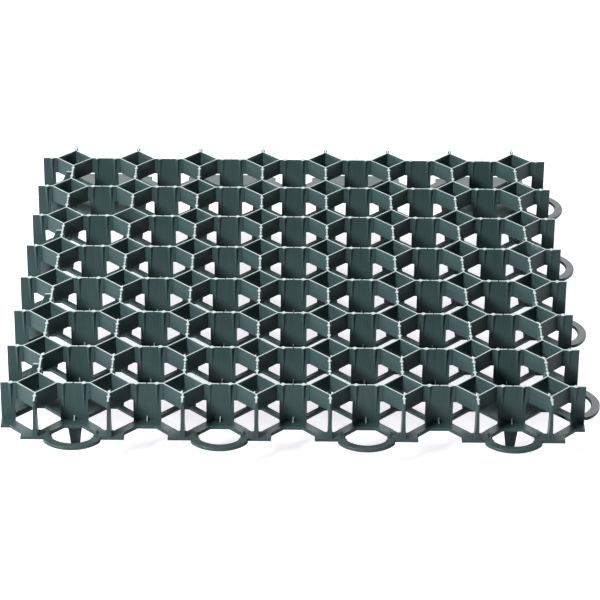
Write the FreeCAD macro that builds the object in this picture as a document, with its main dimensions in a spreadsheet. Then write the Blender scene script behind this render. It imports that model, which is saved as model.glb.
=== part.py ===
"""Grass paver grid: one square panel of moulded plastic, laid side by side and filled with soil.

Sixty-four square tubes stand on their corners on a square lattice. Straight walls join the
corners of neighbouring tubes, so the spaces between them are octagons. The panel edge runs
through the middle of the outermost octagons. A base plate with an octagonal hole in each cell
ties the feet of the walls together. Flat rings on the front and right edges drop over hook fins
in the back and left edges of the next panels. Origin: middle of the panel on the underside of
the base plate, +Z up, +X along the front edge to the right, +Y to the back.
"""
import FreeCAD, Part
import math
import os

import Sketcher

NODE_NAME = "paver_grid"
PARTS_FOLDER = "parts"

# Name, size and meaning of each driving dimension, in millimetres unless it says otherwise
DIMENSIONS = (
    ("cell_pitch", 62.5, "distance between neighbouring tube centres"),
    ("cells_across", 8, "count of tubes along each side of the panel"),
    ("grid_height", 38, "underside of the base plate to the top rim"),
    ("plate_thick", 2.8, "base plate"),
    ("straight_wall", 1.5, "walls that join the tubes, at the rim"),
    ("wall_draft", 2.2, "lean of either side of those walls, in degrees"),
    ("tube_half", 18, "tube centre to outer corner"),
    ("tube_wall", 1.2, "walls of the tubes"),
    ("tube_depth", 16, "height of the tube walls, down from the rim"),
    ("pillar_setback", 5.2, "end of a straight wall to the middle of its pillar"),
    ("pillar_half", 2.7, "half the length of a pillar along its wall"),
    ("pillar_width_half", 1.9, "half the thickness of a pillar"),
    ("hole_half", 18.5, "middle of a cell's plate hole to its straight sides"),
    ("hole_side_half", 8, "half of that hole's straight sides"),
    ("tube_hole_half", 19.4, "middle of the space under a tube to its straight sides"),
    ("tube_hole_side_half", 3.8, "half of that space's straight sides"),
    ("gusset_rise", 5, "gusset above the base plate"),
    ("gusset_reach", 5.5, "gusset out from its wall"),
    ("gusset_thick", 1.1, "gusset"),
    ("ring_inner", 17.9, "radius of a connecting ring's hole"),
    ("ring_outer", 25.8, "radius of a connecting ring"),
    ("ring_setback", 5.5, "centre of a connecting ring, inside the panel edge"),
    ("ring_thick", 2.6, "connecting ring"),
    ("ring_play", 0.5, "gap round a ring of the next panel"),
    ("cover_thick", 2.2, "cover over the ring of the next panel"),
    ("cover_reach", 24, "cover in from the panel edge"),
    ("cover_half", 28, "half the width of a cover along the panel edge"),
    ("cover_corner", 14, "corner cut off a cover, on either side"),
    ("fin_top_reach", 5, "fin out from its wall, at the rim"),
    ("fin_foot_reach", 19, "fin out from its wall, at its foot"),
    ("fin_thick", 1.8, "fin"),
    ("spike_length", 25, "ground spike below the base plate"),
    ("spike_root_half", 6.8, "half the width of a spike at the base plate"),
    ("spike_tip_half", 3.6, "half the width of a spike at its tip"),
    ("spike_thick", 3, "ground spike"),
)

# A wall's thickness adds this much of itself to the half-diagonal of its square tube
DIAGONAL = math.sqrt(2)
# Part of a gusset, fin or spike that sinks into what carries it, in millimetres
ROOT = 0.5


class Length:
    """A number together with the spreadsheet formula that it comes from."""

    def __init__(self, value, formula):
        self.value = value
        self.formula = formula

    @staticmethod
    def of(item):
        """Return the item itself when it is a Length, else a plain number as one."""
        return item if isinstance(item, Length) else Length(item, str(item))

    def __add__(self, other):
        other = Length.of(other)
        return Length(self.value + other.value, f"({self.formula} + {other.formula})")

    def __sub__(self, other):
        other = Length.of(other)
        return Length(self.value - other.value, f"({self.formula} - {other.formula})")

    def __mul__(self, other):
        other = Length.of(other)
        return Length(self.value * other.value, f"({self.formula} * {other.formula})")

    def __truediv__(self, other):
        other = Length.of(other)
        return Length(self.value / other.value, f"({self.formula} / {other.formula})")

    def __neg__(self):
        return Length(-self.value, f"(0 - {self.formula})")


def make_sheet(document):
    """Write the driving dimensions to a spreadsheet and return them as Lengths by name."""
    sheet = document.addObject("Spreadsheet::Sheet", "Dimensions")
    lengths = {}
    for row, (name, size, meaning) in enumerate(DIMENSIONS, start=1):
        sheet.set(f"A{row}", name)
        sheet.set(f"B{row}", str(size))
        sheet.set(f"C{row}", meaning)
        sheet.setAlias(f"B{row}", name)
        lengths[name] = Length(size, f"{sheet.Name}.{name}")
    document.recompute()
    return lengths


def origin_part(body, role):
    """Return the body's own origin plane or axis that has the given role, as a reference."""
    return (next(item for item in body.Origin.OriginFeatures if item.Role == role), [""])


def new_sketch(body, name, role="XY_Plane", offset=None, middle=None):
    """Attach an empty sketch to an origin plane of the body.

    Offset moves it along the plane's normal, and middle moves its own origin in the plane.
    """
    sketch = body.newObject("Sketcher::SketchObject", name)
    sketch.AttachmentSupport = origin_part(body, role)
    sketch.MapMode = "FlatFace"
    if offset is not None:
        sketch.setExpression("AttachmentOffset.Base.z", offset.formula)
    if middle is not None:
        sketch.setExpression("AttachmentOffset.Base.x", middle[0].formula)
        sketch.setExpression("AttachmentOffset.Base.y", middle[1].formula)
    return sketch


def pin_point(sketch, geometry, end, point):
    """Hold one point of a sketch at the two Lengths of its place."""
    for kind, place in zip(("DistanceX", "DistanceY"), point):
        place = Length.of(place)
        index = sketch.addConstraint(
            Sketcher.Constraint(kind, -1, 1, geometry, end, place.value))
        sketch.setExpression(f"Constraints[{index}]", place.formula)


def draw_polygon(sketch, corners):
    """Draw a closed outline through corners given as pairs of Lengths."""
    points = [FreeCAD.Vector(Length.of(x).value, Length.of(y).value, 0) for x, y in corners]
    count = len(points)
    first = sketch.GeometryCount
    for index in range(count):
        line = Part.LineSegment(points[index], points[(index + 1) % count])
        sketch.addGeometry(line, False)
    for index in range(count):
        following = first + (index + 1) % count
        sketch.addConstraint(
            Sketcher.Constraint("Coincident", first + index, 2, following, 1))
    for index, corner in enumerate(corners):
        pin_point(sketch, first + index, 1, corner)


def draw_circle(sketch, centre, radius):
    """Draw a circle held at its centre and radius."""
    middle = FreeCAD.Vector(centre[0].value, centre[1].value, 0)
    circle = sketch.addGeometry(Part.Circle(middle, FreeCAD.Vector(0, 0, 1), radius.value), False)
    pin_point(sketch, circle, 3, centre)
    index = sketch.addConstraint(Sketcher.Constraint("Radius", circle, radius.value))
    sketch.setExpression(f"Constraints[{index}]", radius.formula)


def quarter_turn(outline):
    """Turn an outline a quarter turn to the left about the middle of its cell."""
    return [(-y, x) for x, y in outline]


def four_sides(outline):
    """Return an outline together with its three quarter turns."""
    outlines = [outline]
    for _ in range(3):
        outlines.append(quarter_turn(outlines[-1]))
    return outlines


def closed_round(side):
    """Return one outline that repeats the corners of one side on all four sides."""
    return [corner for outline in four_sides(side) for corner in outline]


def diamond(half):
    """Return the corners of a square that stands on its corner."""
    return closed_round([(half, Length.of(0))])


def hole_outline(half, side_half):
    """Return the corners of a plate hole with four straight and four slanting sides."""
    return closed_round([(half, -side_half), (half, side_half)])


def new_body(document, name):
    """Add an empty body with the given name and label."""
    body = document.addObject("PartDesign::Body", name)
    body.Label = name
    return body


def pad(body, name, sketch, length):
    """Add the sketch's outline as solid."""
    feature = body.newObject("PartDesign::Pad", name)
    feature.Profile = sketch
    feature.setExpression("Length", length.formula)
    body.Tip = feature
    return feature


def upright_pad(body, name, sketch, thick):
    """Add an outline drawn in a vertical plane, half its thickness to each side of the plane."""
    feature = pad(body, name, sketch, thick)
    feature.SideType = "Symmetric"
    return feature


def pattern_step(body, name, role, count, spacing):
    """Return a row of equal copies along one of the body's axes."""
    step = body.newObject("PartDesign::LinearPattern", name)
    step.Direction = origin_part(body, role)
    step.setExpression("Occurrences", Length.of(count).formula)
    step.setExpression("Length", (spacing * (Length.of(count) - 1)).formula)
    return step


def repeat(body, name, features, columns=None, rows=None):
    """Repeat features in columns along X and rows along Y, each a count and a spacing."""
    steps = []
    for role, series in (("X_Axis", columns), ("Y_Axis", rows)):
        if series is not None:
            steps.append(pattern_step(body, f"{name}_{role[0].lower()}", role, *series))
    transform = body.newObject("PartDesign::MultiTransform", name)
    transform.Originals = features
    transform.Transformations = steps
    body.Tip = transform


def long_upright_faces(feature, shortest):
    """Return the names of the feature's vertical faces that are at least so long, in mm."""
    names = []
    for number, face in enumerate(feature.Shape.Faces, start=1):
        box = face.BoundBox
        if abs(face.normalAt(0, 0).z) < 0.5 and max(box.XLength, box.YLength) >= shortest:
            names.append(f"Face{number}")
    return names


def first_tube(size):
    """Return the place of the tube in the front left corner, on either axis."""
    return size["cell_pitch"] * (Length.of(1) - size["cells_across"]) / 2


def cell_sketch(body, name, size, height=None):
    """Attach a sketch whose own origin is the middle of the front left cell."""
    place = first_tube(size)
    return new_sketch(body, name, offset=height, middle=(place, place))


def add_pillars(body, size):
    """Add the four lens-shaped pillars of a cell, which the leaning walls swallow at the foot."""
    length = size["pillar_half"]
    width = size["pillar_width_half"]
    middle = size["tube_half"] - size["straight_wall"] / 2 + size["pillar_setback"]
    axis = Length.of(0)
    lens = [(middle + length, axis), (middle, width), (middle - length, axis), (middle, -width)]
    sketch = cell_sketch(body, "pillar_outline", size, height=size["plate_thick"])
    for outline in four_sides(lens):
        draw_polygon(sketch, outline)
    pad(body, "pillars", sketch, size["grid_height"] - size["plate_thick"])


def add_walls(document, body, size):
    """Add the four half walls of a cell, drafted so that they grow thicker to the foot."""
    wall_half = size["straight_wall"] / 2
    near = size["tube_half"] - wall_half
    far = size["cell_pitch"] / 2
    sketch = cell_sketch(body, "wall_outline", size)
    for outline in four_sides([(far, -wall_half), (far, wall_half), (near, wall_half),
                               (near, -wall_half)]):
        draw_polygon(sketch, outline)
    walls = pad(body, "walls", sketch, size["grid_height"])
    rim = body.newObject("PartDesign::Plane", "rim_plane")
    rim.AttachmentSupport = origin_part(body, "XY_Plane")
    rim.MapMode = "FlatFace"
    rim.setExpression("AttachmentOffset.Base.z", size["grid_height"].formula)
    document.recompute()
    draft = body.newObject("PartDesign::Draft", "wall_draft")
    draft.Base = (walls, long_upright_faces(walls, size["tube_half"].value / 2))
    draft.NeutralPlane = (rim, [""])
    draft.setExpression("Angle", size["wall_draft"].formula)
    body.Tip = draft


def add_cell(document, body, size):
    """Add one cell: half walls and plate, cleared under the tube, then tube and pillars."""
    half_pitch = size["cell_pitch"] / 2
    hollow = size["tube_half"] - size["tube_wall"] * DIAGONAL
    tube_foot = size["grid_height"] - size["tube_depth"]
    add_walls(document, body, size)

    # Each corner of the plate is a quarter of an octagonal hole
    edge = half_pitch - size["hole_half"]
    flank = half_pitch - size["hole_side_half"]
    side = [(half_pitch, -edge), (half_pitch, edge), (flank, edge), (edge, flank)]
    sketch = cell_sketch(body, "plate_outline", size)
    draw_polygon(sketch, closed_round(side))
    pad(body, "plate", sketch, size["plate_thick"])

    # The space under the tube goes through the plate and takes the ends off the walls
    sketch = cell_sketch(body, "space_outline", size)
    draw_polygon(sketch, hole_outline(size["tube_hole_half"], size["tube_hole_side_half"]))
    space = body.newObject("PartDesign::Pocket", "space_under_tube")
    space.Profile = sketch
    space.Reversed = True
    space.setExpression("Length", tube_foot.formula)
    body.Tip = space

    sketch = cell_sketch(body, "tube_outline", size, height=tube_foot)
    draw_polygon(sketch, diamond(size["tube_half"]))
    draw_polygon(sketch, diamond(hollow))
    pad(body, "tube", sketch, size["tube_depth"])
    add_pillars(body, size)


def add_gussets(body, size):
    """Brace the foot of every whole wall of a row of cells, on its front face."""
    pitch = size["cell_pitch"]
    columns = size["cells_across"] - 1
    first_gusset = pitch * (Length.of(1) - columns) / 2
    face = first_tube(size) - size["straight_wall"] / 2
    top = size["plate_thick"]
    outline = [
        (face + ROOT, top - ROOT),
        (face - size["gusset_reach"], top - ROOT),
        (face - size["gusset_reach"], top),
        (face, top + size["gusset_rise"]),
        (face + ROOT, top + size["gusset_rise"]),
    ]
    sketch = new_sketch(body, "gusset_outline", "YZ_Plane", offset=first_gusset)
    draw_polygon(sketch, outline)
    gusset = upright_pad(body, "gusset", sketch, size["gusset_thick"])
    repeat(body, "gussets", [gusset], columns=(columns, pitch))


def add_floors(body, size):
    """Close the plate hole in the four cells next to the corners, above the ground spikes."""
    reach = size["cell_pitch"] * (size["cells_across"] / 2 - 1)
    outline = hole_outline(size["hole_half"], size["hole_side_half"])
    sketch = new_sketch(body, "floor_outline")
    draw_polygon(sketch, [(x - reach, y - reach) for x, y in outline])
    floor = pad(body, "floor", sketch, size["plate_thick"])
    repeat(body, "floors", [floor], columns=(2, reach * 2), rows=(2, reach * 2))


def add_spikes(body, size):
    """Hang a tapered blade under a wall near each corner, to hold the panel in the ground."""
    reach_x = size["cell_pitch"] * (size["cells_across"] / 2 - 1)
    reach_y = size["cell_pitch"] * (size["cells_across"] - 1) / 2
    root = size["spike_root_half"]
    tip = size["spike_tip_half"]
    outline = [
        (-root - reach_x, Length.of(ROOT)),
        (-root - reach_x, Length.of(0)),
        (-tip - reach_x, -size["spike_length"]),
        (tip - reach_x, -size["spike_length"]),
        (root - reach_x, Length.of(0)),
        (root - reach_x, Length.of(ROOT)),
    ]
    sketch = new_sketch(body, "spike_outline", "XZ_Plane", offset=reach_y)
    draw_polygon(sketch, outline)
    spike = upright_pad(body, "spike", sketch, size["spike_thick"])
    repeat(body, "spikes", [spike], columns=(2, reach_x * 2), rows=(2, reach_y * 2))


def ring_place(size):
    """Return where rings sit: the first along an edge, their spacing and their distance out."""
    first = -size["cell_pitch"] * (size["cells_across"] / 2 - 1)
    spacing = size["cell_pitch"] * 2
    out = size["cell_pitch"] * size["cells_across"] / 2 - size["ring_setback"]
    return first, spacing, out


def add_rings(body, size):
    """Add flat rings to every second edge cell, on the front edge and on the right edge."""
    first, spacing, out = ring_place(size)
    count = size["cells_across"] / 2
    for name, centre, along in (
        ("front_ring", (first, -out), "columns"),
        ("right_ring", (out, first), "rows"),
    ):
        sketch = new_sketch(body, f"{name}_outline")
        draw_circle(sketch, centre, size["ring_outer"])
        draw_circle(sketch, centre, size["ring_inner"])
        ring = pad(body, name, sketch, size["ring_thick"])
        repeat(body, f"{name}s", [ring], **{along: (count, spacing)})


def add_covers(body, size):
    """Roof over the ring seats, so that the rings of the next panels slide in under them."""
    first, spacing, _ = ring_place(size)
    count = size["cells_across"] / 2
    edge = size["cell_pitch"] * size["cells_across"] / 2
    half = size["cover_half"]
    corner = size["cover_corner"]
    inner = edge - size["cover_reach"]
    outline = [
        (first - half, edge),
        (first - half, inner + corner),
        (first - half + corner, inner),
        (first + half - corner, inner),
        (first + half, inner + corner),
        (first + half, edge),
    ]
    for name, drawn, along in (
        ("back_cover", outline, "columns"),
        ("left_cover", [(-y, x) for x, y in outline], "rows"),
    ):
        sketch = new_sketch(body, f"{name}_outline", offset=size["plate_thick"])
        draw_polygon(sketch, drawn)
        cover = pad(body, name, sketch, size["cover_thick"])
        repeat(body, f"{name}s", [cover], **{along: (count, spacing)})


def add_fins(body, size):
    """Brace the walls behind the covers with fins that lean out towards the foot."""
    first, spacing, _ = ring_place(size)
    count = size["cells_across"] / 2
    face = size["cell_pitch"] * (size["cells_across"] - 1) / 2 + size["straight_wall"] / 2
    foot = size["plate_thick"] + size["cover_thick"] - ROOT
    rim = size["grid_height"]
    outline = [
        (face - ROOT, foot),
        (face + size["fin_foot_reach"], foot),
        (face + size["fin_top_reach"], rim),
        (face - ROOT, rim),
    ]
    mirrored = [(-x, z) for x, z in outline]
    for name, role, drawn, along in (
        ("back_fin", "YZ_Plane", outline, "columns"),
        ("left_fin", "XZ_Plane", mirrored, "rows"),
    ):
        offset = first if role == "YZ_Plane" else -first
        sketch = new_sketch(body, f"{name}_outline", role, offset=offset)
        draw_polygon(sketch, drawn)
        fin = upright_pad(body, name, sketch, size["fin_thick"])
        repeat(body, f"{name}s", [fin], **{along: (count, spacing)})


def build_fittings(document, size):
    """Build all that closes a cell, hangs under the cells or reaches past their edges."""
    body = new_body(document, "fittings")
    add_floors(body, size)
    add_spikes(body, size)
    add_rings(body, size)
    add_covers(body, size)
    add_fins(body, size)
    return body


def build_ring_seats(document, size):
    """Build the discs that clear the back and left edges of the plate for the next rings."""
    body = new_body(document, "ring_seats")
    first, spacing, out = ring_place(size)
    count = size["cells_across"] / 2
    seat_out = out + size["ring_setback"] * 2
    for name, centre, along in (
        ("back_seat", (first, seat_out), "columns"),
        ("left_seat", (-seat_out, first), "rows"),
    ):
        sketch = new_sketch(body, f"{name}_outline")
        draw_circle(sketch, centre, size["ring_outer"] + size["ring_play"])
        seat = pad(body, name, sketch, size["plate_thick"])
        repeat(body, f"{name}s", [seat], **{along: (count, spacing)})
    return body


def repeat_body(body, name, role, size, refine):
    """Repeat all that the body holds so far, once for each cell of a side."""
    so_far = body.Tip
    step = pattern_step(body, name, role, size["cells_across"], size["cell_pitch"])
    step.TransformMode = "Whole shape"
    step.BaseFeature = so_far
    step.Refine = refine
    body.Tip = step


def combine(body, name, tool, kind):
    """Cut another body out of this one, or fuse it on."""
    so_far = body.Tip
    feature = body.newObject("PartDesign::Boolean", name)
    feature.setObjects([tool])
    feature.Type = kind
    feature.BaseFeature = so_far
    feature.Refine = False
    body.Tip = feature


def build_paver(document, size):
    """Build the paver as one body: a cell, a row of cells, all rows, then seats and fittings."""
    seats = build_ring_seats(document, size)
    fittings = build_fittings(document, size)
    body = new_body(document, NODE_NAME)
    add_cell(document, body, size)
    repeat_body(body, "cell_row", "X_Axis", size, refine=True)
    add_gussets(body, size)
    repeat_body(body, "cell_rows", "Y_Axis", size, refine=False)
    combine(body, "seat_cuts", seats, "Cut")
    combine(body, "joined_fittings", fittings, "Fuse")
    return body


def check(document, paver):
    """Raise an error when a feature failed or the solid is not sound."""
    for item in document.Objects:
        if "Invalid" in item.State or "Error" in item.State:
            raise RuntimeError(f"{item.Name} failed: {item.State}")
    shape = paver.Shape
    if shape.isNull() or not shape.isValid():
        raise RuntimeError(f"{paver.Label} has no valid shape")
    if len(shape.Solids) != 1:
        raise RuntimeError(f"{paver.Label} has {len(shape.Solids)} solids")


def main():
    """Build the document, check it and write its one node."""
    document = FreeCAD.newDocument("grass_paver_grid")
    size = make_sheet(document)
    paver = build_paver(document, size)
    document.recompute()
    check(document, paver)
    os.makedirs(PARTS_FOLDER, exist_ok=True)
    paver.Shape.exportStep(os.path.join(PARTS_FOLDER, f"{NODE_NAME}.step"))


main()
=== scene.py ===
"""Looks of the grass paver grid: one moulded plastic panel with its edges and rims finished.

The panel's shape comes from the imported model. This script takes a merged copy of it, brings
its rings, plate holes and pillar tops nearer to the photograph, notches and rounds what a
moulding tool notches and rounds, gives it the plastic, and sets up the floor, lamps and camera.
"""
from __future__ import annotations

import logging
import math
from dataclasses import dataclass
from enum import Enum

import bmesh
import bpy
from mathutils import Matrix, Vector


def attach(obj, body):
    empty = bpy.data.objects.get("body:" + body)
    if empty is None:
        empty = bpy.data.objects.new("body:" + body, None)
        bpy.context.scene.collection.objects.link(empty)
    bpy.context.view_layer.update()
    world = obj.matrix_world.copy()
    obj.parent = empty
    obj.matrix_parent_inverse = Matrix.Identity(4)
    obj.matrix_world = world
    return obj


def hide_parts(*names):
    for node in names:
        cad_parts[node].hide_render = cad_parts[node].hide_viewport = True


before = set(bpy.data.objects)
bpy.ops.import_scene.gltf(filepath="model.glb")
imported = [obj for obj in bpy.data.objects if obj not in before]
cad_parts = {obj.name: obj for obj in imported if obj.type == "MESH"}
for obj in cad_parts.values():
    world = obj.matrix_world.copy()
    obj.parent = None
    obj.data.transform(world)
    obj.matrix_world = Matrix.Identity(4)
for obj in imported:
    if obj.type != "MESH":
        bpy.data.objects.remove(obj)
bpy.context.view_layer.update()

LOG = logging.getLogger("paver")
MM = 0.001
NODE = "paver_grid"
RIM_HEIGHT = 38.0 * MM

Socket = bpy.types.NodeSocket


class EdgeKind(Enum):
    """Kinds of edge that are finished, by where they run."""

    RIM = "rim"
    PILLAR = "pillar"
    PLATE = "plate"


def linear(hex_colour: str) -> tuple[float, float, float, float]:
    """Turn an sRGB hex colour into linear light.

    Args:
        hex_colour: Six hex digits, with or without a leading hash.

    Returns:
        Red, green, blue and an alpha of 1.
    """
    digits = hex_colour.lstrip("#")
    parts = [int(digits[index:index + 2], 16) / 255 for index in (0, 2, 4)]
    light = [c / 12.92 if c <= 0.04045 else ((c + 0.055) / 1.055) ** 2.4 for c in parts]
    return (light[0], light[1], light[2], 1.0)


def add_node(
    tree: bpy.types.NodeTree,
    kind: str,
    settings: dict[str, object] | None = None,
    inputs: dict[str | int, object] | None = None,
) -> bpy.types.Node:
    """Add a shader node with its settings, socket values and links.

    Args:
        tree: Node tree that gets the node.
        kind: Type name of the node.
        settings: Attributes of the node itself.
        inputs: Values by socket name or number. A socket as the value makes a link.

    Returns:
        The new node.
    """
    node = tree.nodes.new(kind)
    for name, value in (settings or {}).items():
        setattr(node, name, value)
    for name, value in (inputs or {}).items():
        socket = node.inputs[name]
        if isinstance(value, Socket):
            tree.links.new(value, socket)
        else:
            socket.default_value = value
    return node


def calculate(tree: bpy.types.NodeTree, operation: str, *terms: Socket | float) -> Socket:
    """Add a calculation.

    Args:
        tree: Node tree that gets the node.
        operation: Name of the operation.
        *terms: What it works on, in order.

    Returns:
        The result.
    """
    node = add_node(
        tree, "ShaderNodeMath", {"operation": operation}, dict(enumerate(terms)))
    return node.outputs["Value"]


def remap(
    tree: bpy.types.NodeTree, value: Socket,
    source: tuple[float, float], target: tuple[float, float],
) -> Socket:
    """Map one range of values onto another, and hold what lies beyond at its ends.

    Args:
        tree: Node tree that gets the node.
        value: Value to map.
        source: Range that the value is taken from.
        target: Range that it is mapped onto.

    Returns:
        The mapped value.
    """
    node = add_node(
        tree, "ShaderNodeMapRange", {},
        {"Value": value, "From Min": source[0], "From Max": source[1],
         "To Min": target[0], "To Max": target[1]})
    return node.outputs["Result"]


def mix(
    tree: bpy.types.NodeTree, settings: dict[str, object],
    factor: Socket | float, first: object, second: object,
) -> Socket:
    """Mix two colours or two numbers.

    Args:
        tree: Node tree that gets the node.
        settings: What is mixed, and how.
        factor: Share of the second.
        first: What a share of 0 gives.
        second: What a share of 1 gives.

    Returns:
        The mixture.
    """
    node = add_node(
        tree, "ShaderNodeMix", settings, {"Factor": factor, "A": first, "B": second})
    return node.outputs["Result"]


def axis_normal(axis: int) -> Vector:
    """Give the unit vector along X or Y.

    Args:
        axis: 0 for X, 1 for Y.

    Returns:
        The unit vector.
    """
    return Vector((1.0, 0.0, 0.0)) if axis == 0 else Vector((0.0, 1.0, 0.0))


def add_object(name: str, data: bpy.types.ID) -> bpy.types.Object:
    """Make an object and link it to the scene.

    Args:
        name: Name of the object.
        data: Its mesh, lamp or camera.

    Returns:
        The object.
    """
    made = bpy.data.objects.new(name, data)
    bpy.context.scene.collection.objects.link(made)
    return made


@dataclass(frozen=True)
class MouldedPolyethylene:
    """Dark green recycled polyethylene, injection moulded in a plain steel tool.

    Attributes:
        body: Colour of the walls.
        bloom: Paler, greyer tone where regrind and flow lines show.
        rim: Colour of the pale painted highlight on the top rims and the gussets' sloping
            edges, in place of the light that they reflect.
        roughness: Roughness of a wall.
        roughness_swing: What the marks of the tool add to the roughness, from least to most.
        tone_swing: Factors on the colour from the same marks.
        refraction: Index of refraction.
        shine: Level of the mirror-like share.
        draw_line: Spacing of the fine upright lines that the tool leaves on the walls.
        draw_stretch: How many times longer those lines are.
        cut_stretch: How many times longer the cutter marks on the tube walls are.
        mark_band: Values of the marks' noise that give the least and the most.
        mark_strength: Share of the marks' height that bends the light.
        mark_height: Height of the marks.
        tube_band: Product of the normal's X and Y where cutter marks start and are alone.
        cloud_size: Size of the soft patches of tone.
        cloud_band: Values of the clouds' noise that give the least and the most bloom.
        cloud_share: Most bloom in a cloud.
        rim_band: Distances under the rims where their painted highlight starts and is full.
        gusset_slope: Upward share of the normal on a gusset's sloping edge, which gets the
            painted highlight, and its slack.
        gusset_height: Middle height of those edges, and half of their rise.
    """

    body: str = "#3F5454"
    bloom: str = "#4C6160"
    # Pale painted highlight for the rims and the gussets' sloping edges, standing in for
    # reflected light.
    rim: str = "#B4C6C4"
    roughness: float = 0.34
    roughness_swing: tuple[float, float] = (-0.08, 0.1)
    tone_swing: tuple[float, float] = (0.92, 1.07)
    refraction: float = 1.51
    shine: float = 0.15
    draw_line: float = 1.1 * MM
    draw_stretch: float = 60.0
    cut_stretch: float = 25.0
    mark_band: tuple[float, float] = (0.3, 0.7)
    mark_strength: float = 0.2
    mark_height: float = 0.2 * MM
    tube_band: tuple[float, float] = (0.3, 0.45)
    cloud_size: float = 38.0 * MM
    cloud_band: tuple[float, float] = (0.35, 0.7)
    cloud_share: float = 0.55
    rim_band: tuple[float, float] = (0.35 * MM, 0.05 * MM)
    gusset_slope: tuple[float, float] = (0.74, 0.12)
    gusset_height: tuple[float, float] = (5.8 * MM, 2.6 * MM)

    def stretched_noise(
        self, tree: bpy.types.NodeTree, place: Socket, scale: tuple[float, float, float],
    ) -> Socket:
        """Add a noise that is stretched along one or two axes.

        Args:
            tree: Node tree of the material.
            place: Object coordinates.
            scale: Turns of the noise for each metre along X, Y and Z.

        Returns:
            The noise, from 0 to 1.
        """
        stretched = add_node(
            tree, "ShaderNodeMapping", {}, {"Vector": place, "Scale": scale})
        noise = add_node(
            tree, "ShaderNodeTexNoise", {"noise_dimensions": "3D"},
            {"Vector": stretched.outputs["Vector"], "Scale": 1.0, "Detail": 2.0})
        return noise.outputs["Fac"]

    def clouded_tone(self, tree: bpy.types.NodeTree, place: Socket) -> Socket:
        """Cloud the body colour, because polyethylene flows in slowly with paler regrind.

        Args:
            tree: Node tree of the material.
            place: Object coordinates.

        Returns:
            The colour.
        """
        clouds = add_node(
            tree, "ShaderNodeTexNoise", {"noise_dimensions": "3D"},
            {"Vector": place, "Scale": 1 / self.cloud_size, "Detail": 3.0,
             "Roughness": 0.55})
        share = remap(
            tree, clouds.outputs["Fac"], self.cloud_band, (0.0, self.cloud_share))
        return mix(
            tree, {"data_type": "RGBA"}, share, linear(self.body), linear(self.bloom))

    def tool_marks(
        self, tree: bpy.types.NodeTree, place: Socket, facing: bpy.types.Node,
    ) -> Socket:
        """Run draw lines up the straight walls, and cutter marks along the tube walls.

        Args:
            tree: Node tree of the material.
            place: Object coordinates.
            facing: Node that splits the normal.

        Returns:
            The marks, from 0 to 1.
        """
        fine = 1 / self.draw_line
        long = fine / self.cut_stretch
        drawn = self.stretched_noise(tree, place, (fine, fine, fine / self.draw_stretch))
        cut = self.stretched_noise(tree, place, (long, long, fine))
        across = calculate(tree, "MULTIPLY", facing.outputs["X"], facing.outputs["Y"])
        slanting = calculate(tree, "ABSOLUTE", across)
        on_tube = remap(tree, slanting, self.tube_band, (0.0, 1.0))
        return mix(tree, {"data_type": "FLOAT"}, on_tube, drawn, cut)

    def painted_highlight_share(
        self, tree: bpy.types.NodeTree, place: Socket, facing: bpy.types.Node,
    ) -> Socket:
        """Find the rims and the gussets' sloping edges, which get a pale painted highlight for
        the light that they reflect.

        The gussets' sloping edges are the only faces of that slope just above the plate.

        Args:
            tree: Node tree of the material.
            place: Object coordinates.
            facing: Node that splits the normal.

        Returns:
            Share of the painted highlight.
        """
        height = add_node(tree, "ShaderNodeSeparateXYZ", {}, {"Vector": place}).outputs["Z"]
        start, full = self.rim_band
        # Painted highlight along the top of the rims.
        rim_highlight = remap(tree, height, (RIM_HEIGHT - start, RIM_HEIGHT - full), (0.0, 1.0))
        # Painted highlight on the gussets' sloping edges just above the plate.
        sloping = calculate(tree, "COMPARE", facing.outputs["Z"], *self.gusset_slope)
        low_down = calculate(tree, "COMPARE", height, *self.gusset_height)
        gusset_highlight = calculate(tree, "MULTIPLY", sloping, low_down)
        return calculate(tree, "MAXIMUM", rim_highlight, gusset_highlight)

    def build(self) -> bpy.types.Material:
        """Build the material.

        Returns:
            The finished material.
        """
        material = bpy.data.materials.new("moulded_polyethylene_green")
        material.use_nodes = True
        tree = material.node_tree
        tree.nodes.clear()
        coordinates = add_node(tree, "ShaderNodeTexCoord")
        place = coordinates.outputs["Object"]
        facing = add_node(
            tree, "ShaderNodeSeparateXYZ", {}, {"Vector": coordinates.outputs["Normal"]})

        marks = self.tool_marks(tree, place, facing)
        bump = add_node(
            tree, "ShaderNodeBump", {},
            {"Height": marks, "Strength": self.mark_strength,
             "Distance": self.mark_height})
        least, most = self.roughness_swing
        gloss = remap(
            tree, marks, self.mark_band, (self.roughness + least, self.roughness + most))
        streaks = remap(tree, marks, self.mark_band, self.tone_swing)

        streaked = mix(
            tree, {"data_type": "RGBA", "blend_type": "MULTIPLY"}, 1.0,
            self.clouded_tone(tree, place), streaks)
        # Mix in the pale painted highlight on the rims and the gussets' sloping edges.
        highlighted = mix(
            tree, {"data_type": "RGBA"}, self.painted_highlight_share(tree, place, facing),
            streaked, linear(self.rim))
        shader = add_node(
            tree, "ShaderNodeBsdfPrincipled", {},
            {"Base Color": highlighted, "Roughness": gloss, "IOR": self.refraction,
             "Specular IOR Level": self.shine, "Normal": bump.outputs["Normal"]})
        add_node(tree, "ShaderNodeOutputMaterial", {}, {"Surface": shader.outputs["BSDF"]})
        return material


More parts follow.
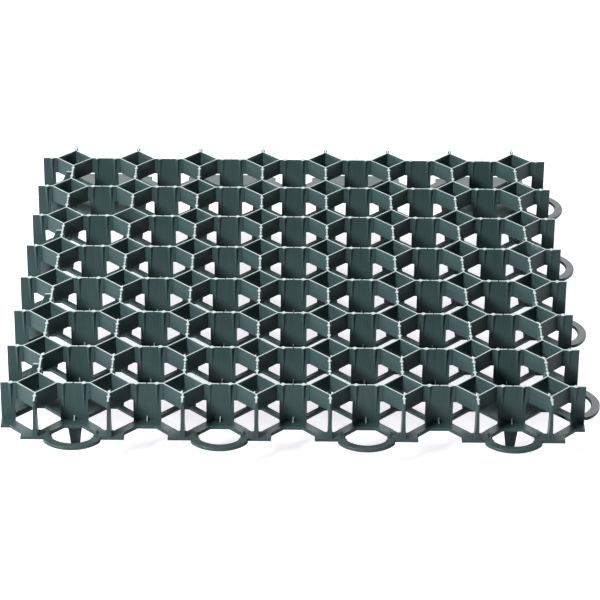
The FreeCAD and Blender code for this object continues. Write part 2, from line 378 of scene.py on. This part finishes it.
@dataclass(frozen=True)
class BowedEdge:
    """Half of a ring's outline: a flat arc over the crown, then a straight side to the panel.

    Attributes:
        solid_radius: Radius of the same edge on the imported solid.
        half_width: Ring's middle line to its straight side.
        depth: Panel edge to the crown.
        radius: Radius of the arc.
    """

    solid_radius: float
    half_width: float
    depth: float
    radius: float

    def point(self, share: float) -> tuple[float, float]:
        """Walk from the crown to the panel edge.

        Args:
            share: Share of the way, from 0 to 1.

        Returns:
            Distance from the ring's middle line and distance out from the panel edge.
        """
        swing = math.asin(self.half_width / self.radius)
        arc = self.radius * swing
        shoulder = self.depth - self.radius * (1 - math.cos(swing))
        gone = share * (arc + shoulder)
        if gone < arc:
            turn = gone / self.radius
            sag = self.radius * (1 - math.cos(turn))
            return self.radius * math.sin(turn), self.depth - sag
        return self.half_width, arc + shoulder - gone


@dataclass
class MouldedPanel:
    """The whole panel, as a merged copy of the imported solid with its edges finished.

    Attributes:
        half_pitch: Half the distance between neighbouring tubes.
        cells_across: Count of tubes along each side.
        plate_top: Height of the base plate's upper face.
        weld: Points nearer than this are the same point.
        near: Slack in telling whether a point is at a height or place.
        flat_angle: Faces that meet at less than this, in radians, are one face.
        ring_spacing: Distance between the rings of an edge.
        ring_setback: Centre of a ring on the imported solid, in from the panel edge.
        ring_edges: Outer and inner outline of the part of a ring that stands out.
        ring_slack: Points this near a ring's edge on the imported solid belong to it.
        ring_step: A ring's upper face is at least this far below the plate's.
        tube_hole_reach: Sum of X and Y from a tube's middle to a slanting side of its hole.
        tube_hole_side: Just over half the length of the hole's sides that don't slant.
        tube_hole_slack: A slanting side that is short by less than this stays.
        hole_corner: Corner of a cell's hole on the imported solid.
        wide_hole_corner: The same corner in the whole cells, whose holes are wider.
        hole_slack: Slack in telling whether a point is on the edge of such a hole.
        pillar_place: Middle of a wall to the middle of its pillars.
        pillar_crest: Half the thickness of a pillar at the rim.
        pillar_crest_slack: Points this near a pillar's middle are its crest.
        pillar_reach: Points this near a pillar's middle are its flanks.
        pillar_band: Distances from the wall's middle line between which those points are.
        pillar_spread: How far the foot of a pillar's flank moves out along the wall.
        notch_half: Half the width of a rim notch.
        notch_deep: Depth of a rim notch.
        notch_spacing: Distance between the notches of a wall that runs to the back.
        fin_aside: Notches this near the middle line of a ring seat may be beside its fin.
        fin_slack: Half the thickness of a wall that carries a fin, with room to spare.
        crest_round: How far the crest of each pillar is rounded off.
        crest_angles: Angles of such crests between their faces.
        crest_length: A crest runs down from the rim by at least this.
        rim_round: Radius on the rims.
        plate_chamfer: Chamfer on the upper edges of the plate holes and rings.
        plate_slack: How far under the plate's upper face such an edge may be.
        sharp_angle: Edges of rims, plate holes and rings are sharper than this, in radians.
        peg_radius: Radius of the pegs beside each ring, at their foot.
        peg_taper: Share of that radius at their top.
        peg_height: Height of those pegs above the plate.
        peg_sunk: How far they reach down into the plate.
        peg_sides: Count of their sides.
        peg_place: Ring's middle line to a peg, and panel edge to a peg.
    """

    half_pitch: float = 31.25 * MM
    cells_across: int = 8
    plate_top: float = 2.8 * MM
    weld: float = 0.002 * MM
    near: float = 0.01 * MM
    flat_angle: float = math.radians(0.4)
    ring_spacing: float = 125.0 * MM
    ring_setback: float = 5.5 * MM
    ring_edges: tuple[BowedEdge, BowedEdge] = (
        BowedEdge(25.8 * MM, 24.3 * MM, 16.8 * MM, 30.0 * MM),
        BowedEdge(17.9 * MM, 17.1 * MM, 9.2 * MM, 21.0 * MM),
    )
    ring_slack: float = 0.3 * MM
    ring_step: float = 0.1 * MM
    tube_hole_reach: float = 23.2 * MM
    tube_hole_side: float = 3.9 * MM
    tube_hole_slack: float = 0.05 * MM
    hole_corner: tuple[float, float] = (18.5 * MM, 8.0 * MM)
    wide_hole_corner: tuple[float, float] = (21.8 * MM, 5.9 * MM)
    hole_slack: float = 0.02 * MM
    pillar_place: float = 8.8 * MM
    pillar_crest: float = 2.6 * MM
    pillar_crest_slack: float = 0.3 * MM
    pillar_reach: float = 3.0 * MM
    pillar_band: tuple[float, float] = (0.5 * MM, 2.0 * MM)
    pillar_spread: float = 0.7 * MM
    notch_half: float = 0.55 * MM
    notch_deep: float = 1.0 * MM
    notch_spacing: float = 5.6 * MM
    fin_aside: float = 11.2 * MM
    fin_slack: float = 1.0 * MM
    crest_round: float = 0.3 * MM
    crest_angles: tuple[float, float] = (math.radians(20), math.radians(100))
    crest_length: float = 3.0 * MM
    rim_round: float = 0.25 * MM
    plate_chamfer: float = 0.6 * MM
    plate_slack: float = 0.3 * MM
    sharp_angle: float = 1.0
    peg_radius: float = 1.3 * MM
    peg_taper: float = 0.75
    peg_height: float = 3.0 * MM
    peg_sunk: float = 0.5 * MM
    peg_sides: int = 8
    peg_place: tuple[float, float] = (20.7 * MM, 7.0 * MM)

    @property
    def pitch(self) -> float:
        """Distance between neighbouring tubes."""
        return 2 * self.half_pitch

    @property
    def panel_half(self) -> float:
        """Middle of the panel to its edges."""
        return self.half_pitch * self.cells_across

    @property
    def last_whole_cell(self) -> int:
        """Count of whole cells from the middle one to the last along an axis."""
        return self.cells_across // 2 - 1

    def slice_flats(self, shape: bmesh.types.BMesh) -> None:
        """Slice the plate and rims along the lattice, and keep the slices as seams.

        Without them the whole underside would become one face with hundreds of holes.

        Args:
            shape: Mesh of the panel, changed in place.
        """
        level = 0.99
        for axis in (0, 1):
            normal = axis_normal(axis)
            for step in range(-self.cells_across, self.cells_across + 1):
                sliced = bmesh.ops.bisect_plane(
                    shape, geom=shape.verts[:] + shape.edges[:] + shape.faces[:],
                    dist=self.weld, plane_co=normal * (step * self.half_pitch),
                    plane_no=normal)
                for part in sliced["geom_cut"]:
                    if isinstance(part, bmesh.types.BMEdge) and all(
                            abs(face.normal.z) > level for face in part.link_faces):
                        part.seam = True

    def merged_copy(self) -> bmesh.types.BMesh:
        """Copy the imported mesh, weld it and join its flat faces within each half cell.

        Returns:
            The copy, in metres in the panel's frame.
        """
        shape = bmesh.new()
        shape.from_mesh(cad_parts[NODE].data)
        bmesh.ops.remove_doubles(shape, verts=shape.verts, dist=self.weld)
        self.slice_flats(shape)
        bmesh.ops.dissolve_limit(
            shape, angle_limit=self.flat_angle, verts=shape.verts, edges=shape.edges,
            delimit={"SEAM"})
        return shape

    def nearest_ring(self, place: float) -> float:
        """Find the ring or ring seat nearest to a place along an edge of the panel.

        Args:
            place: X along the front or back edge, or Y along the right or left one.

        Returns:
            The place of the ring's middle line.
        """
        return (math.floor(place / self.ring_spacing) + 0.5) * self.ring_spacing

    def bow_rings(self, shape: bmesh.types.BMesh) -> None:
        """Flatten the round rings of the solid to the bows that the moulding has.

        Args:
            shape: Mesh of the panel, changed in place.
        """
        for vert in shape.verts:
            if not -self.ring_slack < vert.co.z < self.plate_top - self.ring_step:
                continue
            for axis, out in ((0, -1.0), (1, 1.0)):
                beyond = vert.co[1 - axis] * out - self.panel_half
                if beyond < -self.near:
                    continue
                middle = self.nearest_ring(vert.co[axis])
                aside = vert.co[axis] - middle
                reach = math.hypot(aside, beyond + self.ring_setback)
                turn = math.atan2(abs(aside), beyond + self.ring_setback)
                for edge in self.ring_edges:
                    if abs(reach - edge.solid_radius) < self.ring_slack:
                        whole = math.acos(self.ring_setback / edge.solid_radius)
                        new_aside, new_beyond = edge.point(min(turn / whole, 1.0))
                        vert.co[axis] = middle + math.copysign(new_aside, aside)
                        vert.co[1 - axis] = (self.panel_half + new_beyond) * out
                        break

    def straighten_tube_holes(self, shape: bmesh.types.BMesh) -> None:
        """Take back what the rings leave inside the holes under the tubes.

        Args:
            shape: Mesh of the panel, changed in place.
        """
        for vert in shape.verts:
            if not -self.near < vert.co.z < self.plate_top:
                continue
            offset = [
                vert.co[axis] - (math.floor(vert.co[axis] / self.pitch) + 0.5) * self.pitch
                for axis in (0, 1)]
            missing = self.tube_hole_reach - abs(offset[0]) - abs(offset[1])
            nearest = min(abs(offset[0]), abs(offset[1]))
            if missing > self.tube_hole_slack and nearest > self.tube_hole_side:
                for axis in (0, 1):
                    vert.co[axis] += math.copysign(missing / 2, offset[axis])

    def widen_holes(self, shape: bmesh.types.BMesh) -> None:
        """Widen the plate's holes in the whole cells.

        Args:
            shape: Mesh of the panel, changed in place.
        """
        far, side = self.hole_corner
        wide_far, wide_side = self.wide_hole_corner
        slack = self.hole_slack
        for vert in shape.verts:
            if not -slack < vert.co.z < self.plate_top + slack:
                continue
            cell = [round(vert.co[axis] / self.pitch) for axis in (0, 1)]
            if max(abs(cell[0]), abs(cell[1])) > self.last_whole_cell:
                continue
            offset = [vert.co[axis] - cell[axis] * self.pitch for axis in (0, 1)]
            for axis in (0, 1):
                aside = abs(offset[1 - axis])
                if abs(abs(offset[axis]) - far) > slack or aside > side + slack:
                    continue
                vert.co[axis] += math.copysign(wide_far - far, offset[axis])
                if aside > side - slack:
                    vert.co[1 - axis] += math.copysign(wide_side - side, offset[1 - axis])
                break

    def swell_pillars(self, shape: bmesh.types.BMesh) -> None:
        """Swell the tops of the pillars on the walls that run across, as small lozenges.

        Args:
            shape: Mesh of the panel, changed in place.
        """
        thin, thick = self.pillar_band
        for vert in shape.verts:
            if vert.co.z < RIM_HEIGHT - self.near:
                continue
            middle = round(vert.co.x / self.pitch) * self.pitch
            line = (math.floor(vert.co.y / self.pitch) + 0.5) * self.pitch
            along = vert.co.x - middle
            across = vert.co.y - line
            from_crest = abs(along) - self.pillar_place
            if abs(from_crest) > self.pillar_reach or not thin < abs(across) < thick:
                continue
            if abs(from_crest) < self.pillar_crest_slack:
                vert.co.y = line + math.copysign(self.pillar_crest, across)
            else:
                outward = math.copysign(self.pillar_spread, from_crest)
                vert.co.x = middle + math.copysign(abs(along) + outward, along)

    def cut_notch(self, shape: bmesh.types.BMesh, axis: int, place: float) -> None:
        """Cut a V-shaped notch into every rim that crosses a plane, but not beside a fin.

        Args:
            shape: Mesh of the panel, changed in place.
            axis: 0 for a plane across X, 1 for a plane across Y.
            place: Where the plane is along that axis.
        """
        normal = axis_normal(axis)
        at_rim = RIM_HEIGHT - self.near
        last_wall = self.panel_half - self.half_pitch
        fin_side = 1.0 if axis == 0 else -1.0
        meets_fins = abs(self.nearest_ring(place) - place) < self.fin_aside

        def beside_fin(vert: bmesh.types.BMVert) -> bool:
            """Tell whether a point is on a wall that carries a fin."""
            return meets_fins and vert.co[1 - axis] * fin_side > last_wall - self.fin_slack

        for offset in (-self.notch_half, 0.0, self.notch_half):
            cut = place + offset
            faces = [
                face for face in shape.faces
                if not any(beside_fin(vert) for vert in face.verts)
                and max(vert.co.z for vert in face.verts) > at_rim
                and min(vert.co[axis] for vert in face.verts) < cut + self.near
                and max(vert.co[axis] for vert in face.verts) > cut - self.near]
            parts = set(faces)
            for face in faces:
                parts.update(face.verts)
                parts.update(face.edges)
            bmesh.ops.bisect_plane(
                shape, geom=list(parts), dist=self.weld,
                plane_co=normal * cut, plane_no=normal)
        for vert in shape.verts:
            on_plane = vert.co.z > at_rim and abs(vert.co[axis] - place) < self.near
            if on_plane and not beside_fin(vert):
                vert.co.z -= self.notch_deep

    def cut_notches(self, shape: bmesh.types.BMesh) -> None:
        """Notch the rims of the straight walls, where the tool lets the air out.

        Args:
            shape: Mesh of the panel, changed in place.
        """
        for step in range(-self.last_whole_cell, self.last_whole_cell + 1):
            middle = step * self.pitch
            self.cut_notch(shape, 0, middle)
            for offset in (-self.notch_spacing, 0.0, self.notch_spacing):
                self.cut_notch(shape, 1, middle + offset)

    def is_of_kind(self, edge: bmesh.types.BMEdge, kind: EdgeKind) -> bool:
        """Tell whether an outward edge is of one kind.

        Args:
            edge: Edge of the panel.
            kind: Kind to test for.

        Returns:
            True if it is.
        """
        angle = edge.calc_face_angle(0.0)
        low = min(vert.co.z for vert in edge.verts)
        high = max(vert.co.z for vert in edge.verts)
        at_rim = RIM_HEIGHT - self.near
        if kind is EdgeKind.RIM:
            return low > at_rim and angle > self.sharp_angle
        if kind is EdgeKind.PILLAR:
            blunt, sharp = self.crest_angles
            runs_down = high > at_rim and low < RIM_HEIGHT - self.crest_length
            return runs_down and blunt < angle < sharp
        on_top = self.plate_top - self.plate_slack < low and high < self.plate_top + self.near
        return on_top and angle > self.sharp_angle

    def finish_edges(self, shape: bmesh.types.BMesh) -> None:
        """Round the pillars and rims and chamfer the plate holes and rings.

        Args:
            shape: Mesh of the panel, changed in place.
        """
        for kind, offset, segments in (
            (EdgeKind.PILLAR, self.crest_round, 2),
            (EdgeKind.RIM, self.rim_round, 2),
            (EdgeKind.PLATE, self.plate_chamfer, 1),
        ):
            edges = [
                edge for edge in shape.edges
                if edge.is_manifold and edge.is_convex and self.is_of_kind(edge, kind)]
            LOG.info("%s edges: %d", kind.value, len(edges))
            bmesh.ops.bevel(
                shape, geom=edges, offset=offset, offset_type="OFFSET", segments=segments,
                profile=0.5, affect="EDGES", material=-1, clamp_overlap=False)

    def add_pegs(self, shape: bmesh.types.BMesh) -> None:
        """Stand two short pegs on the plate beside each ring.

        Args:
            shape: Mesh of the panel, changed in place.
        """
        aside, inward = self.peg_place
        rings = round(2 * self.panel_half / self.ring_spacing)
        for axis, out in ((0, -1.0), (1, 1.0)):
            for index in range(rings):
                middle = (index - (rings - 1) / 2) * self.ring_spacing
                for side in (-1.0, 1.0):
                    rise = (self.peg_height - self.peg_sunk) / 2
                    place = Vector((0.0, 0.0, self.plate_top + rise))
                    place[axis] = middle + side * aside
                    place[1 - axis] = (self.panel_half - inward) * out
                    bmesh.ops.create_cone(
                        shape, cap_ends=True, segments=self.peg_sides,
                        radius1=self.peg_radius, radius2=self.peg_taper * self.peg_radius,
                        depth=self.peg_height + self.peg_sunk,
                        matrix=Matrix.Translation(place))

    def build(self, plastic: bpy.types.Material) -> bpy.types.Object:
        """Build and dress the panel.

        Args:
            plastic: Material for all of it.

        Returns:
            The panel's object.
        """
        shape = self.merged_copy()
        self.bow_rings(shape)
        self.straighten_tube_holes(shape)
        self.widen_holes(shape)
        self.swell_pillars(shape)
        self.cut_notches(shape)
        self.finish_edges(shape)
        self.add_pegs(shape)
        mesh = bpy.data.meshes.new("moulded_panel")
        shape.to_mesh(mesh)
        shape.free()
        mesh.materials.append(plastic)
        panel = add_object("moulded_panel", mesh)
        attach(panel, "root")
        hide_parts(NODE)
        mesh.calc_loop_triangles()
        LOG.info("moulded_panel: %d triangles", len(mesh.loop_triangles))
        return panel


@dataclass(frozen=True)
class SoftLamp:
    """One rectangular soft lamp that faces the panel.

    Attributes:
        name: Name of the lamp.
        azimuth: Degrees round the panel from the front, towards the right.
        elevation: Degrees above the floor.
        distance: Metres from the panel.
        size: Width and height in metres.
        watts: Power.
    """

    name: str
    azimuth: float
    elevation: float
    distance: float
    size: tuple[float, float]
    watts: float

    def build(self) -> None:
        """Hang the lamp."""
        light = bpy.data.lights.new(self.name, "AREA")
        light.shape = "RECTANGLE"
        light.size, light.size_y = self.size
        light.energy = self.watts
        turn = math.radians(self.azimuth)
        rise = math.radians(self.elevation)
        outward = Vector((
            math.sin(turn) * math.cos(rise),
            -math.cos(turn) * math.cos(rise),
            math.sin(rise),
        ))
        lamp = add_object(self.name, light)
        lamp.location = outward * self.distance
        lamp.rotation_euler = outward.to_track_quat("Z", "Y").to_euler()


@dataclass
class Studio:
    """Pale floor, soft lamps and the light from all round.

    Attributes:
        floor_height: Height of the floor, at the tips of the ground spikes.
        floor_half: Half the side of the floor.
        paper: Colour of the floor where it shows.
        glow: Colour of the light that it gives off there.
        glow_strength: Strength of that light.
        table: Colour of the floor where it only lights the panel from below.
        sky: Colour of the light from all round.
        sky_strength: Strength of that light.
        backdrop: Colour beyond the floor where it shows.
        lamps: A key on the front left, low lamps on both sides and a band behind.
    """

    floor_height: float = -25.0 * MM
    floor_half: float = 6.0
    paper: str = "#E6E6E8"
    glow: str = "#FDFAFF"
    glow_strength: float = 0.80
    table: str = "#98989A"
    sky: str = "#F2F4F8"
    sky_strength: float = 0.03
    backdrop: str = "#FFFFFF"
    lamps: tuple[SoftLamp, ...] = (
        SoftLamp("key_left", -45.0, 32.0, 2.8, (0.6, 0.6), 76.0),
        SoftLamp("kicker_left", -92.0, 14.0, 2.0, (0.9, 0.5), 24.0),
        SoftLamp("kicker_right", 108.0, 9.0, 2.0, (0.9, 0.4), 16.0),
        SoftLamp("band_behind", 180.0, 34.0, 3.2, (3.6, 1.3), 100.0),
    )

    @staticmethod
    def seen_plainly(tree: bpy.types.NodeTree) -> Socket:
        """Find the rays that show the background: to the camera, in gloss, through clear.

        Args:
            tree: Node tree of the floor or the world.

        Returns:
            1 for such a ray, else 0.
        """
        rays = add_node(tree, "ShaderNodeLightPath").outputs
        gloss = calculate(tree, "MAXIMUM", rays["Is Camera Ray"], rays["Is Glossy Ray"])
        return calculate(tree, "MAXIMUM", gloss, rays["Is Transmission Ray"])

    def floor_material(self) -> bpy.types.Material:
        """Build the floor's matt white, which the camera sees as near white.

        Returns:
            The floor's material.
        """
        material = bpy.data.materials.new("white_paper_floor")
        material.use_nodes = True
        tree = material.node_tree
        tree.nodes.clear()
        paper = add_node(
            tree, "ShaderNodeBsdfDiffuse", {}, {"Color": linear(self.paper)})
        table = add_node(
            tree, "ShaderNodeBsdfDiffuse", {}, {"Color": linear(self.table)})
        glow = add_node(
            tree, "ShaderNodeEmission", {},
            {"Color": linear(self.glow), "Strength": self.glow_strength})
        both = add_node(
            tree, "ShaderNodeAddShader", {},
            {0: paper.outputs["BSDF"], 1: glow.outputs["Emission"]})
        seen = add_node(
            tree, "ShaderNodeMixShader", {},
            {"Fac": self.seen_plainly(tree), 1: table.outputs["BSDF"],
             2: both.outputs["Shader"]})
        add_node(tree, "ShaderNodeOutputMaterial", {}, {"Surface": seen.outputs["Shader"]})
        return material

    def build_floor(self) -> None:
        """Lay the floor under the spikes."""
        shape = bmesh.new()
        bmesh.ops.create_grid(shape, x_segments=1, y_segments=1, size=self.floor_half)
        bmesh.ops.translate(shape, vec=(0.0, 0.0, self.floor_height), verts=shape.verts)
        mesh = bpy.data.meshes.new("floor")
        shape.to_mesh(mesh)
        shape.free()
        mesh.materials.append(self.floor_material())
        add_object("floor", mesh)

    def build_world(self) -> None:
        """Give a little light from all round, and white where the world itself shows."""
        world = bpy.data.worlds.new("studio")
        world.use_nodes = True
        tree = world.node_tree
        tree.nodes.clear()
        soft = add_node(
            tree, "ShaderNodeBackground", {},
            {"Color": linear(self.sky), "Strength": self.sky_strength})
        white = add_node(
            tree, "ShaderNodeBackground", {},
            {"Color": linear(self.backdrop), "Strength": 1.0})
        mixed = add_node(
            tree, "ShaderNodeMixShader", {},
            {"Fac": self.seen_plainly(tree), 1: soft.outputs["Background"],
             2: white.outputs["Background"]})
        add_node(tree, "ShaderNodeOutputWorld", {}, {"Surface": mixed.outputs["Shader"]})
        bpy.context.scene.world = world

    def build(self) -> None:
        """Set up the floor, the lamps and the world."""
        self.build_floor()
        for lamp in self.lamps:
            lamp.build()
        self.build_world()


@dataclass
class Viewpoint:
    """The camera, as fitted to the lattice of cells in the photograph.

    Attributes:
        lens_mm: Focal length.
        sensor_mm: Width of the sensor.
        elevation: Degrees above the horizon.
        yaw: Degrees that the camera looks to the right of straight back.
        roll: Degrees that the camera is tipped.
        distance: Metres from the aim point.
        aim: Aim point from the middle of the rims, across and up the view.
        clip_end: Farthest distance that the camera sees, in metres.
    """

    lens_mm: float = 158.16
    sensor_mm: float = 36.0
    elevation: float = 28.963
    yaw: float = 0.3257
    roll: float = 0.6210
    distance: float = 2.43903
    aim: tuple[float, float] = (6.096 * MM, -34.14 * MM)
    clip_end: float = 50.0

    def build(self) -> None:
        """Place the camera and make it the scene's own."""
        rise = math.radians(self.elevation)
        turn = math.radians(self.yaw)
        forward = Vector((
            math.sin(turn) * math.cos(rise),
            math.cos(turn) * math.cos(rise),
            -math.sin(rise),
        ))
        right = Vector((math.cos(turn), -math.sin(turn), 0.0))
        up = right.cross(forward)
        place = right * self.aim[0] + up * self.aim[1] - forward * self.distance
        place.z += RIM_HEIGHT
        tip = math.radians(self.roll)
        right_tipped = right * math.cos(tip) + up * math.sin(tip)
        up_tipped = up * math.cos(tip) - right * math.sin(tip)
        turned = Matrix((right_tipped, up_tipped, -forward)).transposed().to_4x4()
        camera = add_object("camera", bpy.data.cameras.new("camera"))
        camera.data.lens = self.lens_mm
        camera.data.sensor_width = self.sensor_mm
        camera.data.clip_end = self.clip_end
        camera.matrix_world = Matrix.Translation(place) @ turned
        bpy.context.scene.camera = camera


def main() -> None:
    """Build the panel, the studio and the camera."""
    logging.basicConfig(level=logging.INFO, format="%(name)s: %(message)s")
    plastic = MouldedPolyethylene().build()
    MouldedPanel().build(plastic)
    Studio().build()
    Viewpoint().build()
    bpy.context.scene.view_settings.view_transform = "Standard"


if __name__ == "__main__":
    main()
